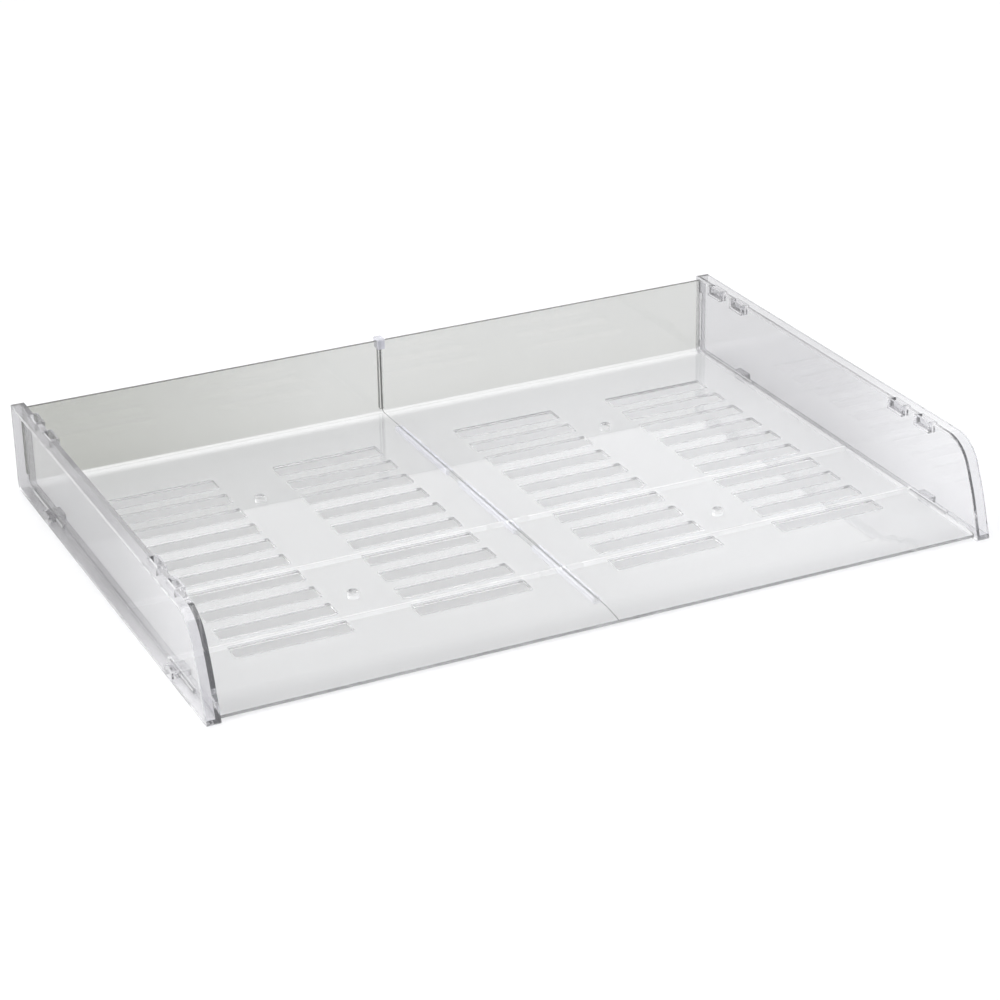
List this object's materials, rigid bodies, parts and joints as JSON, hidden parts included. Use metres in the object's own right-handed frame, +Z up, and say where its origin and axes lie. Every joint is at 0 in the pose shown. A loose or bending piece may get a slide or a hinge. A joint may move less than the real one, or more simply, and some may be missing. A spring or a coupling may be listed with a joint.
{
  "type": "letter tray",
  "caption": "Clear landscape paper tray: slotted floor and low back wall in mirrored halves, clipped on the centre line and hooked into rimmed side panels with stacking sockets.",
  "frame": {"origin": "centre of the footprint at desk level", "axes": "+X to the right seen from the open long front, +Y from the open front to the back wall, +Z up"},
  "size_m": [0.45, 0.312, 0.052],
  "materials": {
    "side_plastic": "polished clear polystyrene",
    "floor_plastic": "polished clear polystyrene, slightly grey in depth",
    "clip_plastic": "clear extruded plastic with a faint violet tint"
  },
  "bodies": {
    "root": {"side_panel_right": "side_plastic", "side_panel_left": "side_plastic", "floor_half_right": "floor_plastic", "floor_half_left": "floor_plastic", "back_wall_clip": "clip_plastic", "floor_clip_rear": "clip_plastic", "floor_clip_middle": "clip_plastic", "floor_clip_front": "clip_plastic"}
  },
  "joints": []
}
